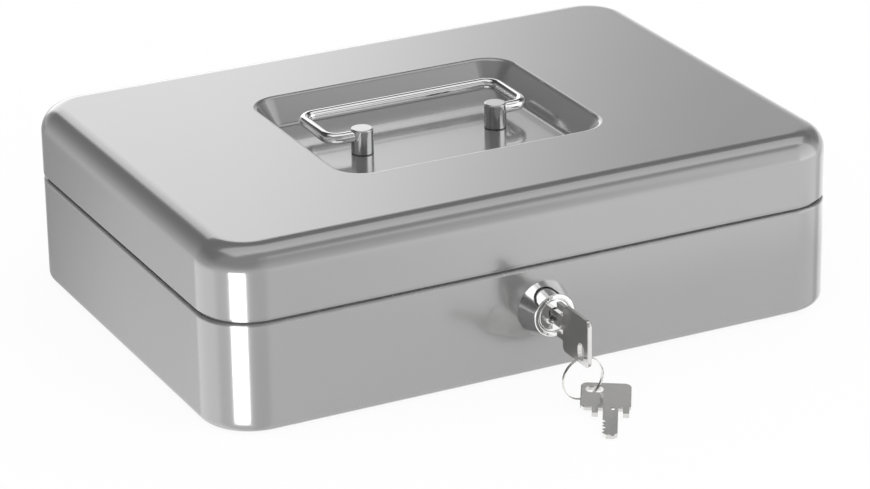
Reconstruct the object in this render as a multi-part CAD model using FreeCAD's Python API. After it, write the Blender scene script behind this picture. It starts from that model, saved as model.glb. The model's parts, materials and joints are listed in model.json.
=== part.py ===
import FreeCAD, Part
import math
import os

# A sheet-steel cash box with a hinged lid, a bail handle in a recess, a cam lock,
# two keys on a ring and a coin tray. Millimetres. +X runs along the length, the
# front with the lock faces -Y, +Z is up, and the origin is the middle of the
# flat underside.

# Case
LENGTH = 300.0
DEPTH = 215.4
SEAM_Z = 51.6
LID_HEIGHT = 30.6
SHEET = 1.0
CORNER_R = 24.0
LID_TOP_R = 11.0
LID_PROUD = 0.1
BASE_FOOT_R = 4.0
SEAM_GAP = 1.9
SHOULDER_R = 1.2
NECK_INSET = 2.0
NECK_RISE = 5.6

# Handle recess pressed into the lid
RECESS_LENGTH = 129.0
RECESS_DEPTH = 104.8
RECESS_Y = 1.8
RECESS_DROP = 11.6
RECESS_RUN = 8.5
RECESS_CORNER_R = 14.0
RECESS_RIM_R = 2.5
RECESS_FOOT_R = 3.0

# Bail handle and its posts
POST_X = 33.0
POST_Y = -0.5
POST_R = 5.0
POST_HEIGHT = 11.6
POST_EDGE_R = 0.7
PIVOT_RISE = 8.4
BAIL_WIRE_R = 2.5
BAIL_HALF_SPAN = 48.5
BAIL_REACH = 32.1
BAIL_BEND_R = 6.5
BAIL_END_DEPTH = 4.8
BAIL_HOLE_SPARE = 0.7
POST_SCREW_R = 2.0
POST_SCREW_GRIP = 5.0
POST_SCREW_HEAD_R = 3.6
POST_SCREW_HEAD = 2.2
POST_SCREW_SLOT = 0.9
POST_WASHER_R = 5.0
POST_WASHER = 0.8

# Hinges on the rear walls
HINGE_INSET = 55.0
HINGE_WIDTH = 40.0
HINGE_KNUCKLE_R = 2.2
HINGE_PIN_R = 1.25
HINGE_PIN_HEAD_R = 1.9
HINGE_PIN_HEAD = 1.0
HINGE_LEAF = 1.0
HINGE_LEAF_HEIGHT = 14.0
HINGE_WEB = 1.8
HINGE_END_SHARE = 0.3
HINGE_WALL_GAP = 0.3
HINGE_KNUCKLE_GAP = 0.3

# Lock
LOCK_Z = 30.0
LOCK_HEAD_R = 12.5
LOCK_FACE_R = 9.5
LOCK_HEAD = 10.0
LOCK_FACE_EDGE_R = 0.6
BARREL_R = 9.4
BARREL_FLAT = 8.3
BARREL_LENGTH = 16.6
PLUG_FACE_R = 7.4
PLUG_FACE = 2.7
PLUG_R = 6.6
PLUG_SUNK = 0.3
PLUG_EDGE = 0.5
PLUG_TAIL = 7.0
KEYWAY_MOUTH_R = 3.7
KEYWAY_MOUTH = 2.5
KEYWAY_SPARE = 5.0
LOCK_WASHER_R = 13.0
LOCK_WASHER = 0.8
LOCK_NUT_FLATS = 22.0
LOCK_NUT = 5.0
WAFER_COUNT = 4
WAFER = 1.0
WAFER_PITCH = 2.8
WAFER_FIRST = 5.0
WAFER_WIDTH = 4.6
WAFER_HEIGHT = 11.8

# Cam and the strike on the lid
CAM = 2.0
CAM_HUB_R = 7.5
CAM_WIDTH = 8.0
CAM_REACH = 22.0
CAM_HOOK = 6.0
CAM_HOOK_REACH = 14.0
CAM_SCREW_R = 2.0
CAM_SCREW_GRIP = 6.0
CAM_SCREW_HEAD_R = 5.0
CAM_SCREW_HEAD = 2.6
CAM_SCREW_SLOT = 1.0
STRIKE = 1.5
STRIKE_X = 8.0
STRIKE_FLANGE = 20.0
STRIKE_FLANGE_HEIGHT = 11.0
STRIKE_BAR = 2.4
STRIKE_MARGIN = 3.0
STRIKE_SIDE_GAP = 1.6
STRIKE_HOOK_GAP = 0.6
STRIKE_NECK_GAP = 0.8
STRIKE_RIM_GAP = 2.5

# Keys and ring
KEY = 2.0
BOW_LENGTH = 22.3
BOW_ABOVE = 8.6
BOW_BELOW = 12.8
BOW_R = 3.0
BOW_EDGE = 0.3
BOW_SLOT_LENGTH = 8.0
BOW_SLOT_WIDTH = 5.5
BOW_SLOT_WEB = 1.8
BOW_SLOT_EDGE = 3.55
KEY_PRONG = 5.0
KEY_PRONG_WIDTH = 2.6
KEY_PRONG_SPREAD = 6.5
KEY_BLADE_LENGTH = 24.0
KEY_BLADE_HEIGHT = 6.4
KEY_TIP = 1.6
KEY_GROOVE_HEIGHT = 1.4
KEY_GROOVE_RISE = 0.4
KEY_GROOVE = 0.5
KEY_CUT_PITCH = 2.8
KEY_CUT_FIRST = 3.4
KEY_CUTS = (1.0, 1.6, 0.8, 1.4)
KEY_CUT_HALF_WIDTH = 1.2
KEY_PULLED = 3.4
RING_R = 9.3
RING_WIRE_R = 0.75
RING_SEAT = 0.3
SPARE_YAW = 30.0
SPARE_TIP_LIFT = 0.2
SPARE_RING_ALONG = 2.85
SPARE_RING_IN = 1.0

# Coin tray
TRAY_WALL = 1.5
TRAY_FLOOR = 1.5
TRAY_RIM = 1.5
TRAY_RIM_OVERHANG = 0.6
TRAY_DROP = 30.5
TRAY_GAP = 0.8
TRAY_FRONT_GAP = 2.6
TRAY_FRONT_R = 5.0
CUP_COUNT = 5
BAY_COUNT = 3
CUP_LENGTH = 84.0
CUP_CORNER_R = 5.0
CUP_SCOOP_R = 18.0
BAY_SCOOP_R = 8.0
TRAY_DIVIDER = 2.0

# Clearances
RUNNING_GAP = 0.05
BAIL_HOLE_GAP = 0.09
AXIAL_GAP = 0.15
FREE_GAP = 0.2
KEYWAY_GAP = 0.25

# Levels and places worked out from the sizes above
HEIGHT = SEAM_Z + LID_HEIGHT
BASE_HALF_X = LENGTH / 2 - LID_PROUD
BASE_HALF_Y = DEPTH / 2 - LID_PROUD
BASE_TOP = SEAM_Z - SEAM_GAP
NECK_TOP = SEAM_Z + NECK_RISE
NECK_HALF_X = BASE_HALF_X - NECK_INSET
NECK_HALF_Y = BASE_HALF_Y - NECK_INSET
NECK_R = CORNER_R - LID_PROUD - NECK_INSET
RECESS_FLOOR = HEIGHT - RECESS_DROP
PIVOT_Z = RECESS_FLOOR + PIVOT_RISE
HINGE_X = LENGTH / 2 - HINGE_INSET
HINGE_Y = DEPTH / 2 + HINGE_WALL_GAP + HINGE_KNUCKLE_R
HINGE_Z = SEAM_Z - SEAM_GAP / 2
FRONT_Y = -BASE_HALF_Y
LOCK_FACE_Y = FRONT_Y - LOCK_HEAD
BARREL_END_Y = FRONT_Y + SHEET + BARREL_LENGTH
CAM_Y = BARREL_END_Y + AXIAL_GAP
KEY_LENGTH = BOW_LENGTH + KEY_BLADE_LENGTH
KEY_Y = LOCK_FACE_Y - KEY_PULLED - KEY_PRONG - BOW_LENGTH
SLOT_ALONG = BOW_SLOT_EDGE + BOW_SLOT_WIDTH / 2
SLOT_LOW = -BOW_BELOW + BOW_SLOT_WEB
RING_Y = KEY_Y + SLOT_ALONG
RING_TOP_Z = LOCK_Z + SLOT_LOW + RING_WIRE_R + RING_SEAT
RING_BOTTOM_Z = RING_TOP_Z - 2 * RING_R
TRAY_FRONT_Y = CAM_Y + CAM + CAM_SCREW_HEAD + TRAY_FRONT_GAP


def at(x, y, z):
    return FreeCAD.Vector(x, y, z)


def box(x0, x1, y0, y1, z0, z1):
    return Part.makeBox(x1 - x0, y1 - y0, z1 - z0, at(x0, y0, z0))


def rod(radius, start, end):
    along = end - start
    return Part.makeCylinder(radius, along.Length, start, along)


def rod_y(radius, y0, y1):
    """A rod on the lock's axis."""
    return rod(radius, at(0, y0, LOCK_Z), at(0, y1, LOCK_Z))


def rounded_outline(half_x, half_y, radius, z, middle_y=0.0):
    """A closed rectangle in plan with round corners."""
    corners = ((1, 1, 0), (-1, 1, 90), (-1, -1, 180), (1, -1, 270))
    arcs = []
    for side_x, side_y, start in corners:
        centre_x = side_x * (half_x - radius)
        centre_y = middle_y + side_y * (half_y - radius)
        points = []
        for turn in (0, 45, 90):
            angle = math.radians(start + turn)
            points.append(at(centre_x + radius * math.cos(angle), centre_y + radius * math.sin(angle), z))
        arcs.append(Part.Arc(*points))
    edges = []
    for arc, following in zip(arcs, arcs[1:] + arcs[:1]):
        edges.append(arc.toShape())
        edges.append(Part.LineSegment(arc.EndPoint, following.StartPoint).toShape())
    return Part.Wire(edges)


def rounded_block(half_x, half_y, radius, z0, z1, middle_y=0.0):
    face = Part.Face(rounded_outline(half_x, half_y, radius, z0, middle_y))
    return face.extrude(at(0, 0, z1 - z0))


def level_edges(shape, z):
    """The edges of a shape that lie flat at one height."""
    flat = []
    for edge in shape.Edges:
        bounds = edge.BoundBox
        if abs(bounds.ZMin - z) < 1e-4 and abs(bounds.ZMax - z) < 1e-4:
            flat.append(edge)
    return flat


def upright_edges(shape):
    upright = []
    for edge in shape.Edges:
        bounds = edge.BoundBox
        if bounds.XLength < 1e-4 and bounds.YLength < 1e-4:
            upright.append(edge)
    return upright


def save(shape, node):
    shape.exportStep("parts/" + node + ".step")


def base_shell():
    """The lower case: a drawn tray with a rounded shoulder and an inset neck."""
    wall_r = CORNER_R - LID_PROUD
    wall = rounded_block(BASE_HALF_X, BASE_HALF_Y, wall_r, 0, BASE_TOP)
    wall = wall.makeFillet(BASE_FOOT_R, level_edges(wall, 0))
    wall = wall.makeFillet(SHOULDER_R, level_edges(wall, BASE_TOP))
    neck = rounded_block(NECK_HALF_X, NECK_HALF_Y, NECK_R, BASE_TOP - SHEET, NECK_TOP)
    inside = rounded_block(
        BASE_HALF_X - SHEET, BASE_HALF_Y - SHEET, wall_r - SHEET, SHEET, BASE_TOP - SHEET
    )
    inside = inside.makeFillet(BASE_FOOT_R - SHEET, level_edges(inside, SHEET))
    mouth = rounded_block(
        NECK_HALF_X - SHEET, NECK_HALF_Y - SHEET, NECK_R - SHEET, BASE_TOP - 2 * SHEET, NECK_TOP
    )
    shell = wall.fuse(neck).cut(inside).cut(mouth)
    return shell.cut(barrel_form(FRONT_Y - SHEET, FRONT_Y + 2 * SHEET, FREE_GAP)).removeSplitter()


def recess_form(spread, deeper):
    """The handle recess as a solid, widened evenly and carried below its floor."""
    half_x = RECESS_LENGTH / 2 + spread
    half_y = RECESS_DEPTH / 2 + spread
    run = RECESS_RUN * (RECESS_DROP + deeper) / RECESS_DROP
    top = rounded_outline(half_x, half_y, RECESS_CORNER_R + spread, HEIGHT, RECESS_Y)
    foot = rounded_outline(
        half_x - run, half_y - run, RECESS_CORNER_R + spread - run, RECESS_FLOOR - deeper, RECESS_Y
    )
    return Part.makeLoft([top, foot], True, True)


def lid_shell():
    """The lid: a drawn cap with rounded top edges and the pressed recess."""
    cap = rounded_block(LENGTH / 2, DEPTH / 2, CORNER_R, SEAM_Z, HEIGHT)
    cap = cap.makeFillet(LID_TOP_R, level_edges(cap, HEIGHT))
    hollow = rounded_block(
        LENGTH / 2 - SHEET, DEPTH / 2 - SHEET, CORNER_R - SHEET, SEAM_Z, HEIGHT - SHEET
    )
    hollow = hollow.makeFillet(LID_TOP_R - SHEET, level_edges(hollow, HEIGHT - SHEET))
    slope = math.atan2(RECESS_DROP, RECESS_RUN)
    pressed = recess_form(SHEET / math.sin(slope), SHEET)
    pocket = recess_form(0, 0)
    pocket = pocket.makeFillet(RECESS_FOOT_R, level_edges(pocket, RECESS_FLOOR))
    shell = cap.cut(pocket)
    rim = [edge for edge in level_edges(shell, HEIGHT) if in_recess(edge)]
    shell = shell.makeFillet(RECESS_RIM_R, rim).cut(hollow.cut(pressed))
    for side in (-1, 1):
        hole = rod(
            POST_SCREW_R + FREE_GAP,
            at(side * POST_X, POST_Y, RECESS_FLOOR - 2 * SHEET),
            at(side * POST_X, POST_Y, RECESS_FLOOR + SHEET),
        )
        shell = shell.cut(hole)
    return shell.removeSplitter()


def in_recess(edge):
    bounds = edge.BoundBox
    reach_x = max(abs(bounds.XMin), abs(bounds.XMax))
    reach_y = max(abs(bounds.YMin - RECESS_Y), abs(bounds.YMax - RECESS_Y))
    return reach_x < RECESS_LENGTH / 2 + SHEET and reach_y < RECESS_DEPTH / 2 + SHEET


def handle_post(side):
    """A round post with a cross hole for the bail and a blind hole for its screw."""
    foot = at(side * POST_X, POST_Y, RECESS_FLOOR)
    top = at(side * POST_X, POST_Y, RECESS_FLOOR + POST_HEIGHT)
    post = rod(POST_R, foot, top)
    post = post.makeFillet(POST_EDGE_R, level_edges(post, top.z))
    inner_x = side * (POST_X + POST_R - BAIL_END_DEPTH - BAIL_HOLE_SPARE)
    cross_hole = rod(
        BAIL_WIRE_R + BAIL_HOLE_GAP,
        at(inner_x, POST_Y, PIVOT_Z),
        at(side * (POST_X + 2 * POST_R), POST_Y, PIVOT_Z),
    )
    screw_hole = rod(POST_SCREW_R + RUNNING_GAP, foot, foot + at(0, 0, POST_SCREW_GRIP + FREE_GAP))
    return post.cut(cross_hole).cut(screw_hole)


def handle_bail():
    """One bent wire: an end in each post, two arms and a crossbar, lying back."""
    end_x = POST_X + POST_R - BAIL_END_DEPTH
    back_y = POST_Y + BAIL_REACH
    corner = BAIL_BEND_R * (1 - math.sqrt(0.5))
    left_x = -BAIL_HALF_SPAN

    def bend(a, b, c):
        return Part.Arc(at(*a, PIVOT_Z), at(*b, PIVOT_Z), at(*c, PIVOT_Z)).toShape()

    def run(a, b):
        return Part.LineSegment(at(*a, PIVOT_Z), at(*b, PIVOT_Z)).toShape()

    path = []
    for side in (1, -1):
        x = side * left_x
        towards = side
        end = (-side * end_x, POST_Y)
        first = (x + towards * BAIL_BEND_R, POST_Y)
        first_mid = (x + towards * corner, POST_Y + corner)
        arm_low = (x, POST_Y + BAIL_BEND_R)
        arm_high = (x, back_y - BAIL_BEND_R)
        second_mid = (x + towards * corner, back_y - corner)
        second = (x + towards * BAIL_BEND_R, back_y)
        half = [
            run(end, first),
            bend(first, first_mid, arm_low),
            run(arm_low, arm_high),
            bend(arm_high, second_mid, second),
            run(second, (0, back_y)),
        ]
        path += half if side == 1 else half[::-1]
    spine = Part.Wire(Part.__sortEdges__(path))
    start = at(-end_x, POST_Y, PIVOT_Z)
    section = Part.Wire(Part.makeCircle(BAIL_WIRE_R, start, at(-1, 0, 0)))
    return spine.makePipeShell([section], True, False)


def post_washers():
    rings = []
    for side in (-1, 1):
        under = at(side * POST_X, POST_Y, RECESS_FLOOR - SHEET)
        ring = rod(POST_WASHER_R, under - at(0, 0, POST_WASHER), under)
        hole = rod(POST_SCREW_R + FREE_GAP, under - at(0, 0, POST_WASHER), under)
        rings.append(ring.cut(hole))
    return Part.makeCompound(rings)


def post_screws():
    screws = []
    for side in (-1, 1):
        seat = at(side * POST_X, POST_Y, RECESS_FLOOR - SHEET - POST_WASHER)
        bottom = seat - at(0, 0, POST_SCREW_HEAD)
        head = rod(POST_SCREW_HEAD_R, bottom, seat)
        shank = rod(POST_SCREW_R, seat, at(seat.x, seat.y, RECESS_FLOOR + POST_SCREW_GRIP))
        slot = box(
            seat.x - POST_SCREW_HEAD_R,
            seat.x + POST_SCREW_HEAD_R,
            seat.y - POST_SCREW_SLOT / 2,
            seat.y + POST_SCREW_SLOT / 2,
            bottom.z,
            bottom.z + POST_SCREW_HEAD / 2,
        )
        screws.append(head.fuse(shank).cut(slot).removeSplitter())
    return Part.makeCompound(screws)


def hinge_spans():
    """Knuckle spans from the hinge's left end: two for the base leaf, one for the lid leaf."""
    end = HINGE_WIDTH * HINGE_END_SHARE
    base = ((0, end), (HINGE_WIDTH - end, HINGE_WIDTH))
    lid = ((end + HINGE_KNUCKLE_GAP, HINGE_WIDTH - end - HINGE_KNUCKLE_GAP),)
    return base, lid


def hinge_leaf(centre_x, wall_y, up, spans):
    """A leaf on a rear wall with its knuckles; up is 1 for the lid and -1 for the base."""
    left = centre_x - HINGE_WIDTH / 2
    near = HINGE_Z + up * (HINGE_KNUCKLE_R - HINGE_LEAF / 2)
    far = HINGE_Z + up * (HINGE_KNUCKLE_R + HINGE_WEB + HINGE_LEAF_HEIGHT)
    web_far = near + up * HINGE_WEB
    plate_near = HINGE_Z + up * (HINGE_KNUCKLE_R + HINGE_LEAF / 2)
    leaf = box(
        left,
        left + HINGE_WIDTH,
        wall_y,
        wall_y + HINGE_LEAF,
        min(plate_near, far),
        max(plate_near, far),
    )
    bore = rod(HINGE_PIN_R + RUNNING_GAP, at(left, HINGE_Y, HINGE_Z), at(left + HINGE_WIDTH, HINGE_Y, HINGE_Z))
    for start, end in spans:
        knuckle = rod(
            HINGE_KNUCKLE_R, at(left + start, HINGE_Y, HINGE_Z), at(left + end, HINGE_Y, HINGE_Z)
        )
        web = box(
            left + start, left + end, wall_y, HINGE_Y, min(near, web_far), max(near, web_far)
        )
        leaf = leaf.fuse(knuckle).fuse(web)
    return leaf.cut(bore).removeSplitter()


def hinge_pin(centre_x):
    left = centre_x - HINGE_WIDTH / 2
    right = centre_x + HINGE_WIDTH / 2
    pin = rod(HINGE_PIN_R, at(left, HINGE_Y, HINGE_Z), at(right, HINGE_Y, HINGE_Z))
    for start, end in ((left - HINGE_PIN_HEAD, left), (right, right + HINGE_PIN_HEAD)):
        pin = pin.fuse(rod(HINGE_PIN_HEAD_R, at(start, HINGE_Y, HINGE_Z), at(end, HINGE_Y, HINGE_Z)))
    return pin.removeSplitter()


def barrel_form(y0, y1, spread):
    """The lock barrel's round form with its two flats."""
    reach = BARREL_R + spread
    flat = BARREL_FLAT + spread
    flats = box(-reach, reach, y0, y1, LOCK_Z - flat, LOCK_Z + flat)
    return rod_y(reach, y0, y1).common(flats)


def lock_housing():
    """The conical head on the front wall, and the barrel behind it."""
    head = Part.makeCone(LOCK_HEAD_R, LOCK_FACE_R, LOCK_HEAD, at(0, FRONT_Y, LOCK_Z), at(0, -1, 0))
    face_edges = [edge for edge in head.Edges if abs(edge.BoundBox.YMax - LOCK_FACE_Y) < 1e-4]
    head = head.makeFillet(LOCK_FACE_EDGE_R, face_edges)
    barrel = barrel_form(FRONT_Y, BARREL_END_Y, 0)
    step_y = LOCK_FACE_Y + PLUG_SUNK + PLUG_FACE + AXIAL_GAP
    face_bore = rod_y(PLUG_FACE_R + RUNNING_GAP, LOCK_FACE_Y, step_y)
    bore = rod_y(PLUG_R + RUNNING_GAP, LOCK_FACE_Y, BARREL_END_Y)
    bevel = Part.makeCone(
        PLUG_FACE_R + RUNNING_GAP + PLUG_EDGE,
        PLUG_FACE_R + RUNNING_GAP,
        PLUG_EDGE,
        at(0, LOCK_FACE_Y, LOCK_Z),
        at(0, 1, 0),
    )
    return head.fuse(barrel).cut(face_bore).cut(bore).cut(bevel).removeSplitter()


def lock_washer():
    inner_y = FRONT_Y + SHEET
    disc = rod_y(LOCK_WASHER_R, inner_y, inner_y + LOCK_WASHER)
    return disc.cut(barrel_form(inner_y, inner_y + LOCK_WASHER, FREE_GAP))


def lock_nut():
    near_y = FRONT_Y + SHEET + LOCK_WASHER
    corners = []
    for side in range(7):
        angle = math.radians(60 * side)
        reach = LOCK_NUT_FLATS / math.sqrt(3)
        corners.append(at(reach * math.cos(angle), near_y, LOCK_Z + reach * math.sin(angle)))
    hexagon = Part.Face(Part.makePolygon(corners)).extrude(at(0, LOCK_NUT, 0))
    return hexagon.cut(rod_y(BARREL_R + RUNNING_GAP, near_y, near_y + LOCK_NUT))


def wafer_places():
    first = LOCK_FACE_Y + WAFER_FIRST
    return [first + WAFER_PITCH * count for count in range(WAFER_COUNT)]


def lock_plug():
    """The turning core: a face disc, a slimmer body with the keyway, and a square tail."""
    face_y = LOCK_FACE_Y + PLUG_SUNK
    tail_end = CAM_Y + CAM - AXIAL_GAP
    face = rod_y(PLUG_FACE_R, face_y, face_y + PLUG_FACE)
    rim = [edge for edge in face.Edges if abs(edge.BoundBox.YMax - face_y) < 1e-4]
    face = face.makeChamfer(PLUG_EDGE, rim)
    body = rod_y(PLUG_R, face_y, CAM_Y)
    half = PLUG_TAIL / 2
    tail = box(-half, half, CAM_Y - PLUG_EDGE, tail_end, LOCK_Z - half, LOCK_Z + half)
    plug = face.fuse(body).fuse(tail)
    half_key = KEY / 2 + KEYWAY_GAP
    half_height = KEY_BLADE_HEIGHT / 2 + KEYWAY_GAP
    key_end = KEY_Y + KEY_LENGTH + KEYWAY_SPARE
    keyway = box(-half_key, half_key, face_y, key_end, LOCK_Z - half_height, LOCK_Z + half_height)
    mouth = rod_y(KEYWAY_MOUTH_R, face_y, face_y + KEYWAY_MOUTH)
    plug = plug.cut(keyway).cut(mouth)
    half_width = WAFER_WIDTH / 2 + FREE_GAP / 2
    for y in wafer_places():
        slot = box(
            -half_width, half_width, y - FREE_GAP / 2, y + WAFER + FREE_GAP / 2, LOCK_Z - PLUG_R, LOCK_Z + PLUG_R
        )
        plug = plug.cut(slot)
    screw_hole = rod_y(CAM_SCREW_R + RUNNING_GAP, tail_end - CAM_SCREW_GRIP - FREE_GAP, tail_end)
    return plug.cut(screw_hole).removeSplitter()


def lock_wafers():
    """Thin plates across the core, each with a window that the blade passes through."""
    half_key = KEY / 2 + KEYWAY_GAP
    half_height = KEY_BLADE_HEIGHT / 2 + KEYWAY_GAP
    half_width = WAFER_WIDTH / 2
    wafers = []
    for y in wafer_places():
        plate = box(
            -half_width, half_width, y, y + WAFER, LOCK_Z - WAFER_HEIGHT / 2, LOCK_Z + WAFER_HEIGHT / 2
        )
        window = box(-half_key, half_key, y, y + WAFER, LOCK_Z - half_height, LOCK_Z + half_height)
        wafers.append(plate.cut(window))
    return Part.makeCompound(wafers)


def lock_cam():
    """The hooked arm, pointing left when unlocked; a quarter turn lifts its hook into the strike."""
    hub = rod_y(CAM_HUB_R, CAM_Y, CAM_Y + CAM)
    half = CAM_WIDTH / 2
    arm = box(-CAM_REACH, 0, CAM_Y, CAM_Y + CAM, LOCK_Z - half, LOCK_Z + half)
    hook = box(
        -CAM_REACH, CAM_HOOK - CAM_REACH, CAM_Y, CAM_Y + CAM, LOCK_Z - half, LOCK_Z + CAM_HOOK_REACH
    )
    side = PLUG_TAIL / 2 + FREE_GAP / 2
    square = box(-side, side, CAM_Y, CAM_Y + CAM, LOCK_Z - side, LOCK_Z + side)
    return hub.fuse(arm).fuse(hook).cut(square).removeSplitter()


def cam_screw():
    seat_y = CAM_Y + CAM
    head = rod_y(CAM_SCREW_HEAD_R, seat_y, seat_y + CAM_SCREW_HEAD)
    tail_end = seat_y - AXIAL_GAP
    shank = rod_y(CAM_SCREW_R, tail_end - CAM_SCREW_GRIP, seat_y)
    slot = box(
        -CAM_SCREW_HEAD_R,
        CAM_SCREW_HEAD_R,
        seat_y + CAM_SCREW_HEAD / 2,
        seat_y + CAM_SCREW_HEAD,
        LOCK_Z - CAM_SCREW_SLOT / 2,
        LOCK_Z + CAM_SCREW_SLOT / 2,
    )
    return head.fuse(shank).cut(slot).removeSplitter()


def strike_plate():
    """A bracket welded inside the lid's front wall: a flange, and a web with a window for the hook."""
    wall_y = SHEET - DEPTH / 2
    flange_low = NECK_TOP + STRIKE_RIM_GAP
    flange_high = flange_low + STRIKE_FLANGE_HEIGHT
    window_low = LOCK_Z + CAM_REACH - CAM_HOOK - STRIKE_HOOK_GAP
    window_high = LOCK_Z + math.hypot(CAM_REACH, CAM_HOOK_REACH) + STRIKE_HOOK_GAP
    window_front = CAM_Y - STRIKE_SIDE_GAP
    window_back = CAM_Y + CAM + STRIKE_SIDE_GAP
    web_x = STRIKE_X + STRIKE
    flange = box(web_x - STRIKE_FLANGE, web_x, wall_y, wall_y + STRIKE, flange_low, flange_high)
    web_back = window_back + STRIKE_MARGIN
    web_low = window_low - STRIKE_BAR
    upper = box(STRIKE_X, web_x, wall_y, web_back, flange_low, flange_high)
    lower_front = FRONT_Y + NECK_INSET + SHEET + STRIKE_NECK_GAP
    lower = box(STRIKE_X, web_x, lower_front, web_back, web_low, flange_high)
    window = box(STRIKE_X, web_x, window_front, window_back, window_low, window_high)
    return flange.fuse(upper).fuse(lower).cut(window).removeSplitter()


def key_form():
    """A flat key: thickness along X, blade along +Y from the bow's outer edge, width along Z."""
    half = KEY / 2
    bow = box(-half, half, 0, BOW_LENGTH, -BOW_BELOW, BOW_ABOVE)
    corners = [edge for edge in bow.Edges if edge.BoundBox.YLength < 1e-4 and edge.BoundBox.ZLength < 1e-4]
    bow = bow.makeFillet(BOW_R, corners)
    faces = [edge for edge in bow.Edges if edge.BoundBox.XLength < 1e-4]
    bow = bow.makeChamfer(BOW_EDGE, faces)
    slot_r = BOW_SLOT_WIDTH / 2
    slot_high = SLOT_LOW + BOW_SLOT_LENGTH
    low = at(-half, SLOT_ALONG, SLOT_LOW + slot_r)
    high = at(-half, SLOT_ALONG, slot_high - slot_r)
    across = at(KEY, 0, 0)
    slot = rod(slot_r, low, low + across).fuse(rod(slot_r, high, high + across))
    slot = slot.fuse(box(-half, half, SLOT_ALONG - slot_r, SLOT_ALONG + slot_r, low.z, high.z))
    key = bow.cut(slot).fuse(key_blade())
    for side in (-1, 1):
        middle = side * KEY_PRONG_SPREAD
        prong = box(
            -half,
            half,
            BOW_LENGTH - BOW_R,
            BOW_LENGTH + KEY_PRONG,
            middle - KEY_PRONG_WIDTH / 2,
            middle + KEY_PRONG_WIDTH / 2,
        )
        key = key.fuse(prong)
    return key.removeSplitter()


def key_blade():
    """The blade, bevelled at its tip, with a long groove on one side and cuts along its lower edge."""
    half = KEY / 2
    half_height = KEY_BLADE_HEIGHT / 2
    profile = [
        at(-half, BOW_LENGTH - BOW_R, -half_height),
        at(-half, KEY_LENGTH - KEY_TIP, -half_height),
        at(-half, KEY_LENGTH, KEY_TIP - half_height),
        at(-half, KEY_LENGTH, half_height - KEY_TIP),
        at(-half, KEY_LENGTH - KEY_TIP, half_height),
        at(-half, BOW_LENGTH - BOW_R, half_height),
    ]
    blade = Part.Face(Part.makePolygon(profile + profile[:1])).extrude(at(KEY, 0, 0))
    groove = box(
        half - KEY_GROOVE,
        half,
        BOW_LENGTH,
        KEY_LENGTH,
        KEY_GROOVE_RISE,
        KEY_GROOVE_RISE + KEY_GROOVE_HEIGHT,
    )
    blade = blade.cut(groove)
    for count, deep in enumerate(KEY_CUTS):
        middle = KEY_LENGTH - KEY_CUT_FIRST - KEY_CUT_PITCH * count
        notch = [
            at(-half, middle - KEY_CUT_HALF_WIDTH, -half_height),
            at(-half, middle, deep - half_height),
            at(-half, middle + KEY_CUT_HALF_WIDTH, -half_height),
        ]
        blade = blade.cut(Part.Face(Part.makePolygon(notch + notch[:1])).extrude(at(KEY, 0, 0)))
    return blade


def key_in_lock():
    return key_form().translated(at(0, KEY_Y, LOCK_Z))


def key_ring():
    return Part.makeTorus(RING_R, RING_WIRE_R, at(0, RING_Y, RING_TOP_Z - RING_R), at(0, 1, 0))


def spare_key():
    """The second key, lying on the surface in front with the ring's lowest point under its bow."""
    along = SLOT_ALONG + SPARE_RING_ALONG
    across = -BOW_BELOW + SPARE_RING_IN
    key = key_form().translated(at(KEY / 2, -along, -across))
    yaw = math.radians(SPARE_YAW)
    blade = at(-math.sin(yaw), -math.cos(yaw), 0)
    width = at(math.cos(yaw), -math.sin(yaw), 0)
    flat = FreeCAD.Rotation(at(0, 0, 1), blade, width, "XYZ")
    key.Placement = FreeCAD.Placement(at(0, 0, 0), flat).multiply(key.Placement)
    wire = at(0, RING_Y, RING_BOTTOM_Z)
    key = key.translated(wire + at(0, 0, RING_WIRE_R + RING_SEAT))
    reach = (KEY_LENGTH - along) * math.cos(yaw) + (KEY_BLADE_HEIGHT / 2 - across) * math.sin(yaw)
    drop = RING_BOTTOM_Z + RING_WIRE_R + RING_SEAT - SPARE_TIP_LIFT
    return key.rotated(wire, at(1, 0, 0), math.degrees(math.atan2(drop, reach)))


def tray_limits(spread):
    """The tray's half length, rear and front, with its sides and rear moved out by spread."""
    half_x = NECK_HALF_X - SHEET - TRAY_GAP + spread
    back_y = NECK_HALF_Y - SHEET - TRAY_GAP + spread
    front_y = TRAY_FRONT_Y - min(spread, 0)
    return half_x, front_y, back_y


def tray_block(spread, z0, z1):
    """A block in the tray's plan: rear corners that follow the neck, a front behind the lock."""
    half_x, front_y, back_y = tray_limits(spread)
    rear_r = NECK_R - SHEET - TRAY_GAP + spread
    block = rounded_block(half_x, back_y, rear_r, z0, z1)
    block = block.common(box(-half_x, half_x, front_y, back_y, z0, z1))
    front = [edge for edge in upright_edges(block) if abs(edge.BoundBox.YMin - front_y) < 1e-4]
    return block.makeFillet(TRAY_FRONT_R + min(spread, 0), front)


def tray_pocket(left, right, front, back, foot, top, scoop_r):
    """One compartment: round corners in plan, and a floor that curves up in front and behind."""
    middle_x = (left + right) / 2
    middle_y = (front + back) / 2
    pocket = rounded_block((right - left) / 2, (back - front) / 2, CUP_CORNER_R, foot, top, middle_y)
    scoop = box(left - middle_x, right - middle_x, front, back, foot, top)
    long_edges = [edge for edge in level_edges(scoop, foot) if edge.BoundBox.YLength < 1e-4]
    scoop = scoop.makeFillet(scoop_r, long_edges)
    return pocket.common(scoop).translated(at(middle_x, 0, 0))


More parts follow.
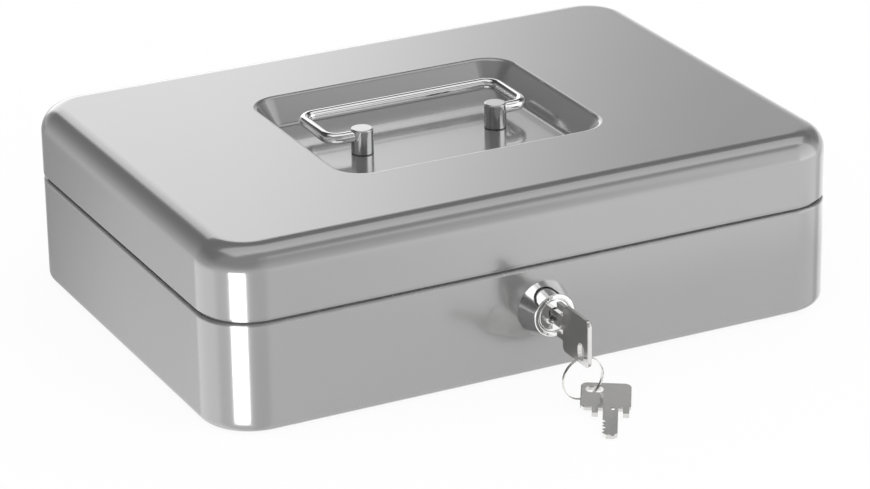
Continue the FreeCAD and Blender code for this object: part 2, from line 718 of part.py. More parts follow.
def coin_tray():
    """A moulded tray whose rim rests on the neck: coin cups in front, note bays behind."""
    rim_spread = TRAY_GAP + SHEET + TRAY_RIM_OVERHANG
    top = NECK_TOP + TRAY_RIM
    foot = NECK_TOP - TRAY_DROP
    floor = foot + TRAY_FLOOR
    tray = tray_block(0, foot, top).fuse(tray_block(rim_spread, NECK_TOP, top))
    half_x, front_y, back_y = tray_limits(-TRAY_WALL)
    room = tray_block(-TRAY_WALL, floor, top)
    split_y = front_y + CUP_LENGTH
    rows = (
        (CUP_COUNT, front_y, split_y, CUP_SCOOP_R),
        (BAY_COUNT, split_y + TRAY_DIVIDER, back_y, BAY_SCOOP_R),
    )
    for count, front, back, scoop_r in rows:
        width = (2 * half_x - TRAY_DIVIDER * (count - 1)) / count
        for number in range(count):
            left = -half_x + number * (width + TRAY_DIVIDER)
            pocket = tray_pocket(left, left + width, front, back, floor, top, scoop_r)
            tray = tray.cut(pocket.common(room))
    return tray.removeSplitter()


def main():
    os.makedirs("parts", exist_ok=True)
    save(base_shell(), "base_shell")
    save(lid_shell(), "lid_shell")
    save(handle_bail(), "handle_bail")
    save(post_washers(), "post_washers")
    save(post_screws(), "post_screws")
    base_spans, lid_spans = hinge_spans()
    for name, side in (("left", -1), ("right", 1)):
        centre_x = side * HINGE_X
        save(handle_post(side), "handle_post_" + name)
        save(hinge_leaf(centre_x, BASE_HALF_Y, -1, base_spans), "hinge_base_leaf_" + name)
        save(hinge_leaf(centre_x, DEPTH / 2, 1, lid_spans), "hinge_lid_leaf_" + name)
        save(hinge_pin(centre_x), "hinge_pin_" + name)
    save(lock_housing(), "lock_housing")
    save(lock_washer(), "lock_washer")
    save(lock_nut(), "lock_nut")
    save(lock_plug(), "lock_plug")
    save(lock_wafers(), "lock_wafers")
    save(lock_cam(), "lock_cam")
    save(cam_screw(), "cam_screw")
    save(strike_plate(), "strike_plate")
    save(key_in_lock(), "key")
    save(key_ring(), "key_ring")
    save(spare_key(), "spare_key")
    save(coin_tray(), "coin_tray")


main()
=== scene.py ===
import json
import math
from collections import namedtuple

import bmesh
import bpy
from mathutils import Matrix, Vector


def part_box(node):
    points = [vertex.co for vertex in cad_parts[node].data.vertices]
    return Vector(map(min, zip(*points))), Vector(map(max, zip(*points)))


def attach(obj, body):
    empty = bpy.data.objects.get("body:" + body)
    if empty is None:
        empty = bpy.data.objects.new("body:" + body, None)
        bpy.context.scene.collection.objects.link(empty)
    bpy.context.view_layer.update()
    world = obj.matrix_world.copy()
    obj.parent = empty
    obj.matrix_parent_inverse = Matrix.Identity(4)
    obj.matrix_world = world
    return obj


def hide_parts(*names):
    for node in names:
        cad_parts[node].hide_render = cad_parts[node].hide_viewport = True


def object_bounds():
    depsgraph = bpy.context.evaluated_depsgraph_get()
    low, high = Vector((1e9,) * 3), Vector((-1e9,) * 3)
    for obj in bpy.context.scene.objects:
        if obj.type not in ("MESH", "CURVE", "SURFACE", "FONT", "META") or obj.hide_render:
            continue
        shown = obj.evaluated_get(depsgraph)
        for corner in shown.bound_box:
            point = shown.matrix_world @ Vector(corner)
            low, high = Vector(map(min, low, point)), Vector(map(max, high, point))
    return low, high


# A grey lacquered cash box: drawn steel lid and base, a chromed bail handle in a
# pressed recess, a cam lock with its keys, and a black coin tray inside.
# Metres, in the part's own frame: +X to the right, the front faces -Y, +Z is up.

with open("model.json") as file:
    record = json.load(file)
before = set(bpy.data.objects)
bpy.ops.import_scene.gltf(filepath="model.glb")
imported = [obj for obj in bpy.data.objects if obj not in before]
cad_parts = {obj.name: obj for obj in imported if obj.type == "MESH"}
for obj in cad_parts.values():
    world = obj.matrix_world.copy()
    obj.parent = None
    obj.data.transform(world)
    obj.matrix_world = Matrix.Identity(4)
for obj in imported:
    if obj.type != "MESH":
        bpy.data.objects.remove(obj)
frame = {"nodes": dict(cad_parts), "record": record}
cad_low, cad_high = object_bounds()
scene = bpy.context.scene

MM = 0.001

# Case
SHEET = 1.0 * MM
CORNER_R = 24.0 * MM
LID_TOP_R = 11.0 * MM
BASE_FOOT_R = 4.0 * MM
SHOULDER_R = 1.6 * MM
SEAM_GAP = 1.9 * MM
NECK_INSET = 2.0 * MM
NECK_ROOT_R = 0.4 * MM
HEM_R = 0.18 * MM
EDGE_MARGIN = 0.25 * MM

# Handle recess
RECESS_HALF_X = 64.5 * MM
RECESS_HALF_Y = 52.4 * MM
RECESS_Y = 1.8 * MM
RECESS_RUN = 8.5 * MM
RECESS_CORNER_R = 14.0 * MM
RECESS_RIM_R = 2.5 * MM
RECESS_FOOT_R = 3.0 * MM

# How worn the lacquer is along each edge, from 0 to 1
RIM_WEAR = 0.7
HEM_WEAR = 0.4
SHOULDER_WEAR = 0.6
NECK_WEAR = 1.0

# Bail, posts, ring and lock
BAIL_BEND_R = 6.5 * MM
BAIL_END_DEPTH = 4.8 * MM
# A painted shade line at the posts' feet, where they meet the recess floor: where it fades out above the
# foot
FOOT_SHADE = (0.3 * MM, 0.6 * MM)
LOCK_HOLE_R = 9.6 * MM
DRILL_DEPTH = 8 * SHEET
RING_TURNS = 2.0
RING_WIRE_SHARE = 0.34
RING_WIDTH_SHARE = 0.75

# Fineness and shading of the meshes
CORNER_STEPS = 16
FILLET_STEPS = 10
HEM_STEPS = 3
WIRE_SIDES = 32
BEND_STEPS = 12
DRILL_SIDES = 48
RING_STEPS = 48
RING_WIRE_SIDES = 12
EDGE_STEPS = 2
WELD = 1e-6
FLAT_ANGLE = math.radians(0.4)
SHARP_ANGLE = math.radians(32)
FACE_WEIGHT = 80

# Camera, fitted to the photograph's edges
CAMERA_AZIMUTH = math.radians(-26.36)
CAMERA_ELEVATION = math.radians(22.51)
CAMERA_ROLL = math.radians(-0.93)
CAMERA_DISTANCE = 1.6967
CAMERA_TARGET = Vector((0.00218, 0, 0.01939))
CAMERA_LENS = 155.98
SENSOR_WIDTH = 36.0

# Plain light, the floor and the front lamp
AMBIENT = 0.82
FLOOR_HALF = 4.0
FLOOR_DROP = 0.3 * MM
FLOOR_PAINT = 0.95
FLOOR_GLOW = 0.9
FLOOR_WHITE = 1.02
SOFTBOX_PLACE = Vector((0.6, -1.8, 1.0))
SOFTBOX_AIM = Vector((0, 0, 0.04))
SOFTBOX_SIZE = (1.2, 0.9)
SOFTBOX_POWER = 4

# Strip lamp: each of its sides is given by the heading of the corner's face that mirrors it and
# by the heading from there to the lamp
STRIP_SIDES = ((-26.5, -27), (-43.2, -60))
STRIP_REACH = 30 * MM
STRIP_LOW = -9 * MM
STRIP_HIGH = 68 * MM
STRIP_GLOW = 4.75

# How the floor tints the room that is mirrored through it: a lighter pool in front and at the right, and
# a shade with a slanted edge at the left. Both stay where they are on the floor in every view.
POOL_AWAY = (50 * MM, 110 * MM)
POOL_ALONG = (-60 * MM, 120 * MM)
POOL_GAIN = 1.24
SHADE_AWAY = (-30 * MM, 10 * MM)
SHADE_ALONG = (0, 140 * MM)
SHADE_SLANT = 2.0
SHADE_GAIN = 0.55

# The room that is mirrored, with 1 as white: a pale lower half, and above it a grey room with panels
# and gaps. Sides are headings round from the front, or from the rear for REAR_PANEL and REAR_SIDE.
# Heights are over the horizon. Both are in degrees, and a soft number is half the width of an edge.
# LOW_REAR and BEHIND are steps in how far a direction points to the rear. TOP_ACROSS and TOP_ALONG
# are slopes of a direction that points up, with the softness of the top panel's edges. Only first
# reflections see FRONT_PANEL and SLOPE_PANEL.
Band = namedtuple("Band", "gain sides soft")
Panel = namedtuple("Panel", "gain sides soft_sides heights soft_heights")
Fade = namedtuple("Fade", "low high heights")
LOW_ROOM = 1.08
LOW_BANDS = (Band(0.33, (-150, -91), 7), Band(-0.22, (-19, 14), 6), Band(-0.4, (84, 101), 5))
LOW_REAR_GAIN = -0.38
LOW_REAR = (0.8, 0.875)
FRONT_ROOM = Fade(0.9, 0.28, (-8, 46))
REAR_ROOM = Fade(0.8, 0.06, (-14, 34))
BEHIND = (-0.2, 0.25)
HORIZON = (-16, -2)
REAR_PANEL = Panel(1.27, (0, 27), 4.5, (-2, 32), 2)
REAR_SIDE = Panel(0.34, (27, 90), 5, (-2, 28), 2.5)
FRONT_PANEL = Panel(0.78, (30, 78), 2, (-6, 46), 6)
SLOPE_PANEL = Panel(0.22, (6, 29), 3, (38, 50), 3)
LEFT_GAP = Panel(0.4, (-95, 2), 12, (6, 33), 7)
RIGHT_GAP = Panel(0.7, (92, 132), 8, (7, 28), 5)
TOP_GAIN = 0.85
TOP_ACROSS = (-0.55, 1.0, 0.1)
TOP_ALONG = (-0.3, 0.43, 0.06)
TOP_CLEAR = (20, 30)
LEAST_RISE = 0.05

# Panels and gaps that only second reflections see, such as those of chrome in lacquer
SECOND_RAY = (2.4, 2.6)
SECOND_LEFT_GAP = Panel(0.83, (-95, 20), 10, (6, 33), 7)
SECOND_LOW_GAP = Band(0.75, (-100, 0), 10)
SECOND_LOW_TOP = (-6, 0)
SECOND_HIGH_PANEL = Panel(3.2, (-66, 12), 4, (38, 66), 3)
SECOND_SIDE_PANEL = Panel(1.4, (27, 80), 5, (6, 50), 8)

lid_low, lid_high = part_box("lid_shell")
base_low, base_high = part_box("base_shell")
post_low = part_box("handle_post_left")[0]
bail_low, bail_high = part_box("handle_bail")
ring_low, ring_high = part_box("key_ring")
housing_low, housing_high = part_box("lock_housing")

behaviour = frame["record"]["behaviour"]
BODY_OF = {node: body for body, nodes in behaviour["bodies"].items() for node in nodes}
SLOT_OF = {part["node"]: part["material_slot"] for part in frame["record"]["subparts"]}


class Term:
    """One value in a node tree, which arithmetic can be written on."""

    def __init__(self, tree, socket):
        self.tree = tree
        self.socket = socket

    def math(self, operation, *others):
        values = dict(enumerate((self,) + others))
        return self.tree.node("ShaderNodeMath", {"operation": operation}, values)

    def __add__(self, other):
        return self.math("ADD", other)

    __radd__ = __add__

    def __sub__(self, other):
        return self.math("SUBTRACT", other)

    def __rsub__(self, other):
        return self.tree.node("ShaderNodeMath", {"operation": "SUBTRACT"}, {0: other, 1: self})

    def __mul__(self, other):
        return self.math("MULTIPLY", other)

    __rmul__ = __mul__

    def __truediv__(self, other):
        return self.math("DIVIDE", other)

    def rise(self, low, high):
        """0 below low, 1 above high, and a smooth step between."""
        return self.tree.node(
            "ShaderNodeMapRange",
            {"interpolation_type": "SMOOTHSTEP"},
            {"Value": self, "From Min": low, "From Max": high},
        )


class Tree:
    """A node tree whose nodes each come from one call."""

    def __init__(self, tree):
        self.tree = tree

    def node(self, kind, settings=None, sockets=None, output=0):
        made = self.tree.nodes.new(kind)
        for name, value in (settings or {}).items():
            setattr(made, name, value)
        for key, value in (sockets or {}).items():
            self.feed(made.inputs[key], value)
        return Term(self, made.outputs[output])

    def feed(self, socket, value):
        if isinstance(value, Term):
            self.tree.links.new(value.socket, socket)
        else:
            socket.default_value = value


class Finish(Tree):
    """One material: its shader, and the patterns that feed it."""

    def __init__(self, name, constants):
        self.material = bpy.data.materials.new(name)
        self.material.use_nodes = True
        super().__init__(self.material.node_tree)
        self.shader = self.tree.nodes["Principled BSDF"]
        for socket, value in constants.items():
            self.set(socket, value)
        self.place = self.node("ShaderNodeTexCoord", output="Object")

    def set(self, socket, value):
        self.feed(self.shader.inputs[socket], value)

    def noise(self, size, detail=2.0, stretch=(1, 1, 1)):
        """A cloudy pattern from 0 to 1 with patches of about this size."""
        place = self.node("ShaderNodeVectorMath", {"operation": "MULTIPLY"}, {0: self.place, 1: stretch})
        return self.node("ShaderNodeTexNoise", {}, {"Vector": place, "Scale": 1 / size, "Detail": detail})

    def blend(self, factor, first, second):
        return self.node("ShaderNodeMix", {"data_type": "RGBA"}, {0: factor, 6: first, 7: second}, output=2)

    def shade(self, factor, dark, light):
        return self.blend(factor, (*dark, 1), (*light, 1))

    def bump(self, height, depth, strength=1.0):
        self.set(
            "Normal",
            self.node("ShaderNodeBump", {}, {"Strength": strength, "Distance": depth, "Height": height}),
        )


def grey(level):
    return (level, level, level)


def case_lacquer():
    """Silver-grey metallic lacquer under a clear coat, with handling marks along the edges."""
    finish = Finish("case_lacquer", {"Metallic": 0.58, "IOR": 1.5, "Coat Roughness": 0.04, "Coat IOR": 1.5})
    cloud = finish.noise(45 * MM, 3)
    flake = finish.noise(0.35 * MM, 1)
    peel = finish.noise(1.6 * MM, 1)
    scuff = finish.noise(9 * MM, 5, (1, 1, 0.3))
    wear = finish.node("ShaderNodeAttribute", {"attribute_name": "wear"}, output="Fac")
    handled = wear * scuff.rise(0.5, 0.64)
    paint = finish.shade(0.6 * cloud + 0.4 * flake, grey(0.35), grey(0.385))
    finish.set("Base Color", finish.blend(0.25 * handled, paint, (*grey(0.5), 1)))
    finish.set("Roughness", 0.16 + 0.05 * cloud + 0.15 * handled)
    finish.set("Coat Weight", 0.8 - 0.3 * handled)
    finish.bump(peel, 0.01 * MM, 0.12)
    return finish.material


def bright_chrome():
    """Polished plate with faint buffing haze."""
    finish = Finish("bright_chrome", {"Metallic": 1.0})
    haze = finish.noise(4 * MM, 4)
    buff = finish.noise(0.7 * MM, 2, (0.3, 1, 1))
    finish.set("Base Color", finish.shade(haze, grey(0.8), grey(0.88)))
    finish.set("Roughness", 0.03 + 0.05 * haze)
    finish.bump(buff, 0.004 * MM, 0.15)
    return finish.material


def turned_chrome():
    """Plate on turned steel: darker than the polished wire, with turning lines and a painted shade line at
    the foot.
    """
    finish = Finish("turned_chrome", {"Metallic": 1.0})
    haze = finish.noise(3 * MM, 3)
    lines = finish.noise(0.4 * MM, 2, (0, 0, 1))
    plate = finish.shade(0.5 * haze + 0.5 * lines, grey(0.54), grey(0.62))
    # A painted shade line round the foot of each post, darkening the plate where it meets the recess floor
    z = finish.node("ShaderNodeSeparateXYZ", {}, {0: finish.place}, output="Z")
    above_foot_shade = (z - post_low.z).rise(*FOOT_SHADE)
    finish.set("Base Color", finish.blend(above_foot_shade, (*grey(0.05), 1), plate))
    finish.set("Roughness", 0.05 + 0.06 * lines)
    finish.bump(lines, 0.004 * MM, 0.15)
    return finish.material


def key_nickel():
    """Satin plate on stamped blanks, brushed across, with softened edges."""
    finish = Finish("key_nickel", {"Metallic": 1.0})
    brush = finish.noise(1.2 * MM, 3, (0.25, 0.25, 6))
    haze = finish.noise(6 * MM, 4)
    plate = finish.shade(0.5 * brush + 0.5 * haze, (0.6, 0.595, 0.58), (0.71, 0.705, 0.69))
    finish.set("Base Color", plate)
    finish.set("Roughness", 0.16 + 0.1 * brush)
    finish.bump(brush, 0.01 * MM, 0.2)
    return finish.material


def zinc_steel():
    """Bright zinc plate with its faint spangle."""
    finish = Finish("zinc_steel", {"Metallic": 1.0})
    spangle = finish.node("ShaderNodeTexVoronoi", {}, {"Vector": finish.place, "Scale": 1 / (2.2 * MM)})
    haze = finish.noise(5 * MM, 4)
    plate = finish.shade(0.5 * spangle + 0.5 * haze, (0.5, 0.51, 0.53), (0.68, 0.69, 0.71))
    finish.set("Base Color", plate)
    finish.set("Roughness", 0.24 + 0.16 * haze)
    finish.bump(haze, 0.02 * MM, 0.2)
    return finish.material


def wafer_brass():
    """Stamped brass, a little dulled."""
    finish = Finish("wafer_brass", {"Metallic": 1.0})
    dull = finish.noise(2 * MM, 4)
    finish.set("Base Color", finish.shade(dull, (0.58, 0.43, 0.19), (0.76, 0.6, 0.3)))
    finish.set("Roughness", 0.25 + 0.2 * dull)
    finish.bump(dull, 0.01 * MM, 0.2)
    return finish.material


def tray_plastic():
    """Black moulded plastic with a fine spark-eroded grain, rubbed smoother in patches."""
    finish = Finish("tray_plastic", {"IOR": 1.47})
    grain = finish.noise(0.55 * MM, 2)
    rubbed = finish.noise(25 * MM, 4)
    finish.set("Base Color", finish.shade(0.5 * grain + 0.5 * rubbed, grey(0.026), grey(0.048)))
    finish.set("Roughness", 0.42 + 0.16 * rubbed)
    finish.bump(grain, 0.03 * MM, 0.35)
    return finish.material


FINISHES = {
    "case_lacquer": case_lacquer(),
    "bright_chrome": bright_chrome(),
    "turned_chrome": turned_chrome(),
    "key_nickel": key_nickel(),
    "zinc_steel": zinc_steel(),
    "wafer_brass": wafer_brass(),
    "tray_plastic": tray_plastic(),
}
TURNED_NODES = ("handle_post_left", "handle_post_right")


def new_piece(name, mesh):
    piece = bpy.data.objects.new(name, mesh)
    scene.collection.objects.link(piece)
    return piece


def place_of(piece, *nodes):
    """Sets the piece in place of these nodes: it rides on their body and takes their finish."""
    slot = SLOT_OF[nodes[0]]
    if not piece.data.materials:
        finish = "turned_chrome" if nodes[0] in TURNED_NODES else slot
        piece.data.materials.append(FINISHES[finish])
    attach(piece, BODY_OF[nodes[0]])
    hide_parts(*nodes)


def baked(piece):
    """Turns a piece's modifiers into its own plain mesh."""
    bpy.context.view_layer.update()
    graph = bpy.context.evaluated_depsgraph_get()
    mesh = bpy.data.meshes.new_from_object(piece.evaluated_get(graph), depsgraph=graph)
    piece.modifiers.clear()
    old = piece.data
    piece.data = mesh
    bpy.data.meshes.remove(old)
    mesh.name = piece.name
    return piece


def smoothed(piece):
    """Smooth faces, with sharp edges kept and large flats left flat."""
    piece.data.shade_smooth()
    piece.data.set_sharp_from_angle(angle=SHARP_ANGLE)
    even = piece.modifiers.new("even", "WEIGHTED_NORMAL")
    even.keep_sharp = True
    even.weight = FACE_WEIGHT
    return baked(piece)


def outline(half_x, half_y, radius, z, middle_y=0.0):
    """Points round a rectangle with round corners, the same number for every size."""
    points = []
    for side_x, side_y, start in ((1, 1, 0), (-1, 1, 90), (-1, -1, 180), (1, -1, 270)):
        for step in range(CORNER_STEPS + 1):
            angle = math.radians(start + 90 * step / CORNER_STEPS)
            x = side_x * (half_x - radius) + radius * math.cos(angle)
            y = side_y * (half_y - radius) + radius * math.sin(angle)
            points.append(Vector((x, middle_y + y, z)))
    return points


def arc(steps, start, end):
    """Angles in radians from start to end, both given in degrees."""
    return [math.radians(start + (end - start) * step / steps) for step in range(steps + 1)]


def skinned(name, loops):
    """A closed skin through loops of points, each with how worn its line is; the end loops are filled."""
    form = bmesh.new()
    wear = form.verts.layers.float.new("wear")
    rows = []
    for points, worn in loops:
        row = [form.verts.new(point) for point in points]
        for vert in row:
            vert[wear] = worn
        rows.append(row)
    for row, following in zip(rows, rows[1:]):
        for number in range(len(row)):
            after = (number + 1) % len(row)
            form.faces.new((row[number], row[after], following[after], following[number]))
    form.faces.new(rows[0])
    form.faces.new(rows[-1])
    bmesh.ops.recalc_face_normals(form, faces=form.faces)
    mesh = bpy.data.meshes.new(name)
    form.to_mesh(mesh)
    form.free()
    return new_piece(name, mesh)


def lid_loops():
    """From the recess floor over the rim, the top and the walls, and back inside under the recess."""
    floor = post_low.z
    foot = lid_low.z
    top = lid_high.z
    drop = top - floor
    slope = math.atan2(drop, RECESS_RUN)
    rim_reach = RECESS_RIM_R * math.tan(slope / 2)
    foot_reach = RECESS_FOOT_R * math.tan(slope / 2)
    slope_degrees = math.degrees(slope)

    def recess(spread, z, worn=0.0):
        ring = outline(
            RECESS_HALF_X + spread, RECESS_HALF_Y + spread, RECESS_CORNER_R + spread, z, RECESS_Y
        )
        return ring, worn

    def wall(inset, z, worn=0.0):
        return outline(lid_high.x - inset, lid_high.y - inset, CORNER_R - inset, z), worn

    loops = [recess(-RECESS_RUN - foot_reach - EDGE_MARGIN, floor)]
    for angle in arc(FILLET_STEPS, 0, slope_degrees):
        spread = -RECESS_RUN - foot_reach + RECESS_FOOT_R * math.sin(angle)
        loops.append(recess(spread, floor + RECESS_FOOT_R * (1 - math.cos(angle))))
    for angle in arc(FILLET_STEPS, slope_degrees, 0):
        spread = rim_reach - RECESS_RIM_R * math.sin(angle)
        worn = RIM_WEAR * math.sin(math.pi * angle / slope)
        loops.append(recess(spread, top - RECESS_RIM_R * (1 - math.cos(angle)), worn))
    loops.append(recess(rim_reach + EDGE_MARGIN, top))
    loops.append(wall(LID_TOP_R + EDGE_MARGIN, top))
    for angle in arc(2 * FILLET_STEPS, 90, 0):
        loops.append(wall(LID_TOP_R * (1 - math.cos(angle)), top - LID_TOP_R * (1 - math.sin(angle))))
    loops.append(wall(0, top - LID_TOP_R - EDGE_MARGIN))
    above_hem = foot + 4 * HEM_R
    loops.append(wall(0, above_hem))
    for angle in arc(HEM_STEPS, 0, 90):
        level = foot + HEM_R * (1 - math.sin(angle))
        loops.append(wall(HEM_R * (1 - math.cos(angle)), level, HEM_WEAR))
    for angle in arc(HEM_STEPS, 90, 0):
        level = foot + HEM_R * (1 - math.sin(angle))
        loops.append(wall(SHEET - HEM_R * (1 - math.cos(angle)), level, HEM_WEAR))
    loops.append(wall(SHEET, above_hem))
    inner_r = LID_TOP_R - SHEET
    for angle in arc(FILLET_STEPS, 0, 90):
        level = top - LID_TOP_R + inner_r * math.sin(angle)
        loops.append(wall(LID_TOP_R - inner_r * math.cos(angle), level))
    under = SHEET / math.sin(slope)
    for z in (top - SHEET, floor - SHEET):
        loops.append(recess(under - RECESS_RUN * (top - z) / drop, z))
    return loops


def base_loops():
    """From the underside up the wall, over the shoulder and neck, and down inside to the floor."""
    neck_top = base_high.z
    shoulder = lid_low.z - SEAM_GAP
    underside = base_low.z
    inner_foot_r = BASE_FOOT_R - SHEET

    def wall(inset, z, worn=0.0):
        return outline(base_high.x - inset, base_high.y - inset, CORNER_R - inset, z), worn

    loops = [wall(BASE_FOOT_R + EDGE_MARGIN, underside)]
    for angle in arc(FILLET_STEPS, 90, 0):
        level = underside + BASE_FOOT_R * (1 - math.sin(angle))
        loops.append(wall(BASE_FOOT_R * (1 - math.cos(angle)), level, math.sin(angle)))
    loops.append(wall(0, underside + BASE_FOOT_R + EDGE_MARGIN))
    loops.append(wall(0, shoulder - SHOULDER_R - EDGE_MARGIN))
    for angle in arc(FILLET_STEPS, 0, 90):
        level = shoulder - SHOULDER_R * (1 - math.sin(angle))
        loops.append(wall(SHOULDER_R * (1 - math.cos(angle)), level, SHOULDER_WEAR))
    for angle in arc(HEM_STEPS, 90, 0):
        level = shoulder + NECK_ROOT_R * (1 - math.sin(angle))
        loops.append(wall(NECK_INSET - NECK_ROOT_R * (1 - math.cos(angle)), level))
    rim = neck_top - HEM_R
    for angle in arc(HEM_STEPS, 0, 90):
        level = rim + HEM_R * math.sin(angle)
        loops.append(wall(NECK_INSET + HEM_R * (1 - math.cos(angle)), level, NECK_WEAR))
    neck_inner = NECK_INSET + SHEET
    for angle in arc(HEM_STEPS, 90, 0):
        level = rim + HEM_R * math.sin(angle)
        loops.append(wall(neck_inner - HEM_R * (1 - math.cos(angle)), level, NECK_WEAR))
    loops.append(wall(neck_inner, shoulder - SHEET))
    loops.append(wall(SHEET, shoulder - SHEET))
    for angle in arc(FILLET_STEPS, 0, 90):
        level = underside + BASE_FOOT_R - inner_foot_r * math.sin(angle)
        loops.append(wall(BASE_FOOT_R - inner_foot_r * math.cos(angle), level))
    return loops


def lock_drill():
    """A round cutter through the front wall on the lock's axis."""
    form = bmesh.new()
    bmesh.ops.create_cone(
        form,
        cap_ends=True,
        segments=DRILL_SIDES,
        radius1=LOCK_HOLE_R,
        radius2=LOCK_HOLE_R,
        depth=DRILL_DEPTH,
    )
    middle_z = (housing_low.z + housing_high.z) / 2
    turn = Matrix.Rotation(math.radians(90), 4, "X")
    move = Matrix.Translation((0, base_low.y, middle_z))
    bmesh.ops.transform(form, matrix=move @ turn, verts=form.verts)
    mesh = bpy.data.meshes.new("lock_drill")
    form.to_mesh(mesh)
    form.free()
    return new_piece("lock_drill", mesh)


def base_skin():
    """The base's skin with the hole for the lock."""
    piece = skinned("base_skin", base_loops())
    drill = lock_drill()
    hole = piece.modifiers.new("lock hole", "BOOLEAN")
    hole.operation = "DIFFERENCE"
    hole.solver = "EXACT"
    hole.object = drill
    baked(piece)
    bpy.data.objects.remove(drill)
    return smoothed(piece)


class WireTree(Tree):
    """Geometry nodes that sweep a wire along a path, with the sizes as named inputs."""

    def __init__(self, name):
        super().__init__(bpy.data.node_groups.new(name, "GeometryNodeTree"))
        self.sockets = {}
        self.tree.interface.new_socket("Geometry", in_out="INPUT", socket_type="NodeSocketGeometry")
        self.tree.interface.new_socket("Geometry", in_out="OUTPUT", socket_type="NodeSocketGeometry")
        self.entry = self.tree.nodes.new("NodeGroupInput")
        self.exit = self.tree.nodes.new("NodeGroupOutput")

    def size(self, name):
        """A named length that the modifier sets."""
        socket = self.tree.interface.new_socket(name, in_out="INPUT", socket_type="NodeSocketFloat")
        self.sockets[name] = socket.identifier
        return Term(self, self.entry.outputs[name])

    def path(self):
        return Term(self, self.entry.outputs["Geometry"])

    def sweep(self, curve, profile, material):
        wire = self.node(
            "GeometryNodeCurveToMesh", {}, {"Curve": curve, "Profile Curve": profile, "Fill Caps": True}
        )
        smooth = self.node("GeometryNodeSetShadeSmooth", {}, {"Geometry": wire})
        real = self.node("GeometryNodeRealizeInstances", {}, {"Geometry": smooth})
        done = self.node("GeometryNodeSetMaterial", {}, {"Geometry": real, "Material": material})
        self.feed(self.exit.inputs["Geometry"], done)

    def make(self, piece, sizes):
        bend = piece.modifiers.new(self.tree.name, "NODES")
        bend.node_group = self.tree
        for name, value in sizes.items():
            bend[self.sockets[name]] = value
        baked(piece)
        piece.data.set_sharp_from_angle(angle=SHARP_ANGLE)
        return piece


def handle_bail():
    """One wire, bent at four corners, its ends turned in to the posts."""
    wire_r = (bail_high.z - bail_low.z) / 2
    axis_z = (bail_high.z + bail_low.z) / 2
    span = bail_high.x - wire_r
    end_x = -post_low.x - BAIL_END_DEPTH
    front = bail_low.y + wire_r
    back = bail_high.y - wire_r
    corners = [(-end_x, front), (-span, front), (-span, back), (span, back), (span, front), (end_x, front)]
    mesh = bpy.data.meshes.new("bail_path")
    runs = [(number, number + 1) for number in range(len(corners) - 1)]
    mesh.from_pydata([(x, y, axis_z) for x, y in corners], runs, [])
    tree = WireTree("bail_bending")
    radius = tree.size("Wire Radius")
    bend = tree.size("Bend Radius")
    line = tree.node("GeometryNodeMeshToCurve", {}, {"Mesh": tree.path()})
    bent = tree.node(
        "GeometryNodeFilletCurve",
        {"mode": "POLY"},
        {"Curve": line, "Count": BEND_STEPS, "Radius": bend, "Limit Radius": True},
    )
    section = tree.node(
        "GeometryNodeCurvePrimitiveCircle", {"mode": "RADIUS"}, {"Resolution": WIRE_SIDES, "Radius": radius}
    )
    tree.sweep(bent, section, FINISHES["bright_chrome"])
    piece = new_piece("bail_wire", mesh)
    return tree.make(piece, {"Wire Radius": wire_r, "Bend Radius": BAIL_BEND_R})


def split_ring():
    """A split ring: two turns of flat wire, side by side, in place of the solid ring."""
    outer_r = (ring_high.x - ring_low.x) / 2
    half_thick = (ring_high.y - ring_low.y) / 2
    wire = half_thick * RING_WIRE_SHARE
    tree = WireTree("ring_winding")
    radius = tree.size("Ring Radius")
    rise = tree.size("Winding Rise")
    flat = tree.size("Wire Half Width")
    thick = tree.size("Wire Half Thickness")
    winding = tree.node(
        "GeometryNodeCurveSpiral",
        {},
        {
            "Resolution": RING_STEPS,
            "Rotations": RING_TURNS,
            "Start Radius": radius,
            "End Radius": radius,
            "Height": rise,
        },
    )
    middle = (ring_low + ring_high) / 2
    upright = tree.node(
        "GeometryNodeTransform",
        {},
        {
            "Geometry": winding,
            "Translation": (middle.x, middle.y + half_thick - wire, middle.z),
            "Rotation": (math.radians(90), 0, 0),
        },
    )
    round_section = tree.node(
        "GeometryNodeCurvePrimitiveCircle",
        {"mode": "RADIUS"},
        {"Resolution": RING_WIRE_SIDES, "Radius": 1.0},
    )
    shape = tree.node("ShaderNodeCombineXYZ", {}, {"X": flat, "Y": thick, "Z": 1.0})
    section = tree.node("GeometryNodeTransform", {}, {"Geometry": round_section, "Scale": shape})
    tree.sweep(upright, section, FINISHES["key_nickel"])
    piece = new_piece("split_ring", bpy.data.meshes.new("split_ring"))
    width = RING_WIDTH_SHARE * half_thick
    return tree.make(
        piece,
        {
            "Ring Radius": outer_r - width,
            "Winding Rise": 2 * (half_thick - wire),
            "Wire Half Width": width,
            "Wire Half Thickness": wire,
        },
    )


def dressed(node, edge):
    """A smooth copy of a node: its facets merged and its edges broken by a small round."""
    source = frame["nodes"][node].data
    form = bmesh.new()
    verts = [form.verts.new(vert.co) for vert in source.vertices]
    for face in source.polygons:
        form.faces.new([verts[number] for number in face.vertices])
    bmesh.ops.remove_doubles(form, verts=form.verts, dist=WELD)
    bmesh.ops.dissolve_degenerate(form, edges=form.edges, dist=WELD)
    bmesh.ops.dissolve_limit(form, angle_limit=FLAT_ANGLE, verts=form.verts, edges=form.edges)
    mesh = bpy.data.meshes.new(node + "_skin")
    form.to_mesh(mesh)
    form.free()
    piece = new_piece(node + "_skin", mesh)
    broken = piece.modifiers.new("edge", "BEVEL")
    broken.width = edge
    broken.segments = EDGE_STEPS
    broken.limit_method = "ANGLE"
    broken.angle_limit = SHARP_ANGLE
    return smoothed(baked(piece))


